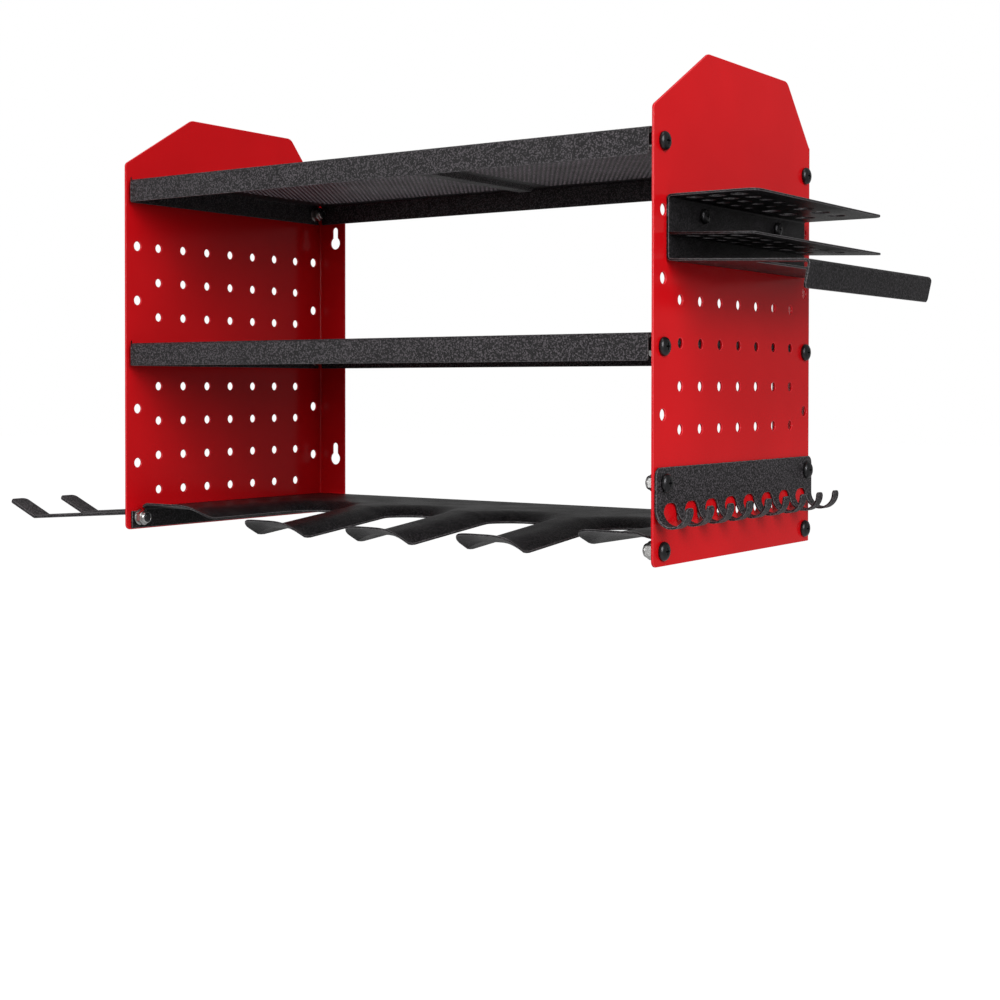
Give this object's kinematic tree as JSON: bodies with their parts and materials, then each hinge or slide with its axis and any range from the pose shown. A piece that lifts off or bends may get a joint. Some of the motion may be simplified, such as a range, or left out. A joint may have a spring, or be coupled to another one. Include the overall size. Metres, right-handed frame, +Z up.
{
  "type": "wall mounted power tool organizer",
  "caption": "Wall rack of perforated side panels joined by tray shelves and a slotted drill rail, with a bit and pliers rack, a hook rail and a hammer bracket bolted outside.",
  "frame": {"origin": "in the wall plane, midway between the side panels, at the height where the wall screws seat in the upper keyholes", "axes": "+X to the right of a person facing the rack, +Y into the wall, +Z up"},
  "size_m": [0.6948, 0.217, 0.3102],
  "materials": {
    "red_coat": "glossy powder coat",
    "black_coat": "fine wrinkle powder coat",
    "black_bolt": "black oxide",
    "zinc_nut": "bright zinc plate"
  },
  "bodies": {
    "root": {"bit_and_pliers_rack": "black_coat", "bit_rack_middle_plate": "black_coat", "drill_rail": "black_coat", "drill_rail_left_front_bolt": "black_bolt", "drill_rail_left_front_nut": "zinc_nut", "drill_rail_left_rear_bolt": "black_bolt", "drill_rail_left_rear_nut": "zinc_nut", "drill_rail_right_front_bolt": "black_bolt", "drill_rail_right_front_nut": "zinc_nut", "drill_rail_right_rear_bolt": "black_bolt", "drill_rail_right_rear_nut": "zinc_nut", "hammer_bracket": "black_coat", "hook_rail": "black_coat", "hook_rail_front_bolt": "black_bolt", "hook_rail_front_nut": "zinc_nut", "hook_rail_rear_bolt": "black_bolt", "hook_rail_rear_nut": "zinc_nut", "middle_shelf": "black_coat", "middle_shelf_left_front_bolt": "black_bolt", "middle_shelf_left_front_nut": "zinc_nut", "middle_shelf_left_rear_bolt": "black_bolt", "middle_shelf_left_rear_nut": "zinc_nut", "middle_shelf_right_front_bolt": "black_bolt", "middle_shelf_right_front_nut": "zinc_nut", "middle_shelf_right_rear_bolt": "black_bolt", "middle_shelf_right_rear_nut": "zinc_nut", "rack_front_bolt": "black_bolt", "rack_front_nut": "zinc_nut", "rack_rear_bolt": "black_bolt", "rack_rear_nut": "zinc_nut", "side_panel_left": "red_coat", "side_panel_right": "red_coat", "upper_shelf": "black_coat", "upper_shelf_left_front_bolt": "black_bolt", "upper_shelf_left_front_nut": "zinc_nut", "upper_shelf_left_rear_bolt": "black_bolt", "upper_shelf_left_rear_nut": "zinc_nut", "upper_shelf_right_front_bolt": "black_bolt", "upper_shelf_right_front_nut": "zinc_nut", "upper_shelf_right_rear_bolt": "black_bolt", "upper_shelf_right_rear_nut": "zinc_nut"}
  },
  "joints": []
}
